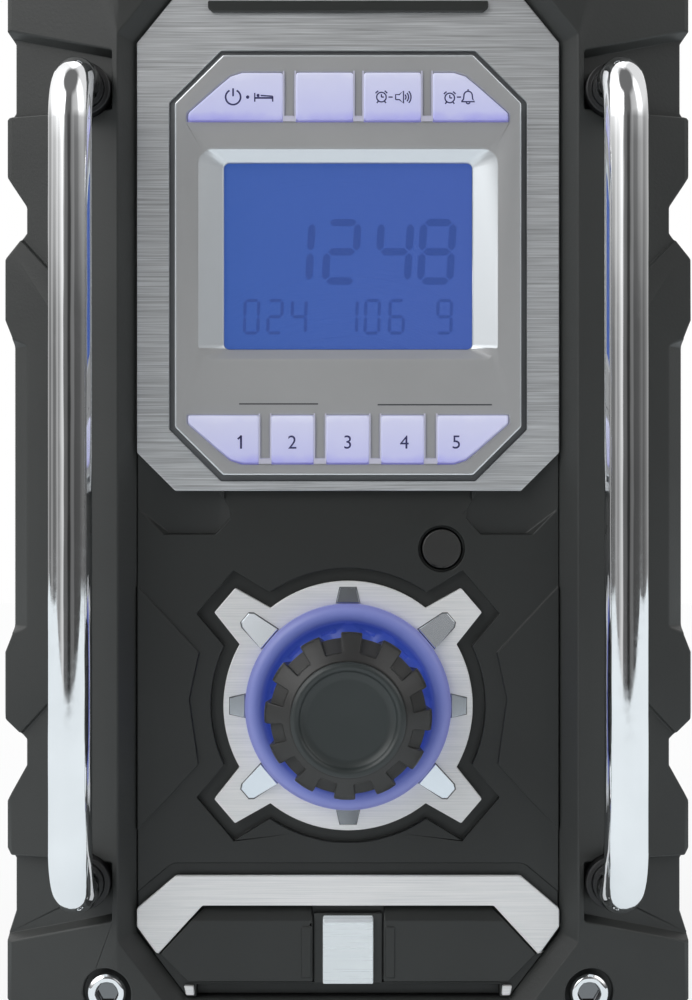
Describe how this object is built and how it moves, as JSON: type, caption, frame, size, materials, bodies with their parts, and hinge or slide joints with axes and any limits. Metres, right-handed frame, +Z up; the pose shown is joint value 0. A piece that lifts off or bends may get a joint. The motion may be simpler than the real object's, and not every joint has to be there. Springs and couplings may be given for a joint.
{
  "type": "jobsite radio",
  "caption": "Armoured jobsite radio with a narrow control front, chromed guard bars, side speakers, a folding handle and a rear battery bay.",
  "frame": {"origin": "middle of the case on the surface that its feet stand on", "axes": "+Z up, -Y out of the control front, +X to the right seen from the front"},
  "size_m": [0.1674, 0.261, 0.298],
  "materials": {
    "housing": "moulded ABS with a fine spark-eroded grain",
    "bumper": "soft overmoulded armour, matte",
    "panel": "soft-touch panel, satin",
    "brushed_metal": "brushed along the width",
    "dark_trim": "dark satin paint",
    "silver_paint": "silver paint, satin",
    "lens": "clear hard-coated window",
    "lcd": "backlit blue",
    "key": "translucent lavender, softly lit",
    "board": "solder mask",
    "knob_rubber": "satin rubber",
    "cap_rubber": "satin rubber",
    "marker_metal": "satin",
    "light_ring": "translucent violet",
    "bright_strip": "bright anodised",
    "cover_rubber": "soft port covers",
    "socket_plastic": "moulded",
    "chrome": "polished",
    "steel": "turned",
    "bush_rubber": "matte",
    "handle_plastic": "fine grain",
    "grip_rubber": "soft, matte",
    "antenna_rubber": "satin",
    "grille_steel": "satin powder coat",
    "speaker_steel": "pressed steel",
    "cone": "coated paper",
    "door_plastic": "fine grain",
    "latch_plastic": "fine grain",
    "foot_rubber": "matte"
  },
  "bodies": {
    "case": {"front_housing": "housing", "rear_housing": "housing", "front_bumper": "bumper", "rear_bumper": "bumper", "control_panel": "panel", "brushed_plate": "brushed_metal", "badge_plate": "dark_trim", "display_housing": "silver_paint", "display_lens": "lens", "lcd_module": "lcd", "control_board": "board", "dial_plate": "brushed_metal", "dial_markers": "marker_metal", "light_ring": "light_ring", "encoder_body": "steel", "lower_trim": "brushed_metal", "centre_strip": "bright_strip", "cover_anchor": "cover_rubber", "aux_jack": "socket_plastic", "usb_port": "steel", "left_guard_bar": "chrome", "right_guard_bar": "chrome", "rear_guard_bars": "chrome", "bar_bushes": "bush_rubber", "bumper_bolts": "chrome", "handle_pivots": "steel", "hinge_pins": "steel", "speaker_baffles": "housing", "left_grille": "grille_steel", "right_grille": "grille_steel", "left_speaker": "speaker_steel", "right_speaker": "speaker_steel", "speaker_cones": "cone", "battery_tray": "housing", "battery_terminal": "socket_plastic", "main_board": "board", "dc_jack": "socket_plastic", "feet": "foot_rubber"},
    "power_key": {"power_key": "key"},
    "source_key": {"source_key": "key"},
    "radio_alarm_key": {"radio_alarm_key": "key"},
    "buzzer_alarm_key": {"buzzer_alarm_key": "key"},
    "preset_key_1": {"preset_key_1": "key"},
    "preset_key_2": {"preset_key_2": "key"},
    "preset_key_3": {"preset_key_3": "key"},
    "preset_key_4": {"preset_key_4": "key"},
    "preset_key_5": {"preset_key_5": "key"},
    "info_key": {"info_key": "knob_rubber"},
    "knob_push": {"encoder_plunger": "steel"},
    "knob": {"volume_knob": "knob_rubber", "knob_cap": "cap_rubber", "encoder_shaft": "steel"},
    "aux_cover": {"aux_cover": "cover_rubber"},
    "usb_cover": {"usb_cover": "cover_rubber"},
    "handle": {"carry_handle": "handle_plastic", "handle_grip": "grip_rubber"},
    "antenna": {"antenna_rod": "antenna_rubber"},
    "battery_door": {"battery_door": "door_plastic"},
    "door_latch": {"door_latch": "latch_plastic"},
    "dc_cover": {"dc_cover": "cover_rubber"}
  },
  "joints": [
    {"name": "power_key_press", "type": "slide", "parent": "case", "child": "power_key", "axis": [0, 1, 0], "range_m": [0, 0.001], "stiffness_N_per_m": 1200, "springref_m": -0.0003},
    {"name": "source_key_press", "type": "slide", "parent": "case", "child": "source_key", "axis": [0, 1, 0], "range_m": [0, 0.001], "stiffness_N_per_m": 1200, "springref_m": -0.0003},
    {"name": "radio_alarm_key_press", "type": "slide", "parent": "case", "child": "radio_alarm_key", "axis": [0, 1, 0], "range_m": [0, 0.001], "stiffness_N_per_m": 1200, "springref_m": -0.0003},
    {"name": "buzzer_alarm_key_press", "type": "slide", "parent": "case", "child": "buzzer_alarm_key", "axis": [0, 1, 0], "range_m": [0, 0.001], "stiffness_N_per_m": 1200, "springref_m": -0.0003},
    {"name": "preset_key_1_press", "type": "slide", "parent": "case", "child": "preset_key_1", "axis": [0, 1, 0], "range_m": [0, 0.001], "stiffness_N_per_m": 1200, "springref_m": -0.0003},
    {"name": "preset_key_2_press", "type": "slide", "parent": "case", "child": "preset_key_2", "axis": [0, 1, 0], "range_m": [0, 0.001], "stiffness_N_per_m": 1200, "springref_m": -0.0003},
    {"name": "preset_key_3_press", "type": "slide", "parent": "case", "child": "preset_key_3", "axis": [0, 1, 0], "range_m": [0, 0.001], "stiffness_N_per_m": 1200, "springref_m": -0.0003},
    {"name": "preset_key_4_press", "type": "slide", "parent": "case", "child": "preset_key_4", "axis": [0, 1, 0], "range_m": [0, 0.001], "stiffness_N_per_m": 1200, "springref_m": -0.0003},
    {"name": "preset_key_5_press", "type": "slide", "parent": "case", "child": "preset_key_5", "axis": [0, 1, 0], "range_m": [0, 0.001], "stiffness_N_per_m": 1200, "springref_m": -0.0003},
    {"name": "info_key_press", "type": "slide", "parent": "case", "child": "info_key", "axis": [0, 1, 0], "range_m": [0, 0.0008], "stiffness_N_per_m": 1200, "springref_m": -0.0003},
    {"name": "knob_press", "type": "slide", "parent": "case", "child": "knob_push", "axis": [0, 1, 0], "range_m": [0, 0.0008], "stiffness_N_per_m": 5000, "springref_m": -0.0003},
    {"name": "knob_turn", "type": "hinge", "parent": "knob_push", "child": "knob", "pos_m": [0, -0.11, 0.08479], "axis": [0, -1, 0], "continuous": true},
    {"name": "aux_cover_hinge", "type": "hinge", "parent": "case", "child": "aux_cover", "pos_m": [-0.0086, -0.1008, 0.028], "axis": [0, 0, 1], "range_deg": [0, 95]},
    {"name": "usb_cover_hinge", "type": "hinge", "parent": "case", "child": "usb_cover", "pos_m": [0.0086, -0.1008, 0.028], "axis": [0, 0, -1], "range_deg": [0, 95]},
    {"name": "handle_fold", "type": "hinge", "parent": "case", "child": "handle", "pos_m": [0, 0, 0.256], "axis": [0, 1, 0], "range_deg": [-90, 90]},
    {"name": "antenna_tilt", "type": "hinge", "parent": "case", "child": "antenna", "pos_m": [0.062, 0.084, 0.267], "axis": [-1, 0, 0], "range_deg": [0, 95]},
    {"name": "battery_door_hinge", "type": "hinge", "parent": "case", "child": "battery_door", "pos_m": [0, 0.1023, 0.0232], "axis": [-1, 0, 0], "range_deg": [0, 90]},
    {"name": "door_latch_slide", "type": "slide", "parent": "battery_door", "child": "door_latch", "axis": [0, 0, 1], "range_m": [0, 0.0035]},
    {"name": "dc_cover_hinge", "type": "hinge", "parent": "case", "child": "dc_cover", "pos_m": [-0.039, 0.0983, 0.182], "axis": [0, 0, 1], "range_deg": [0, 90]}
  ]
}
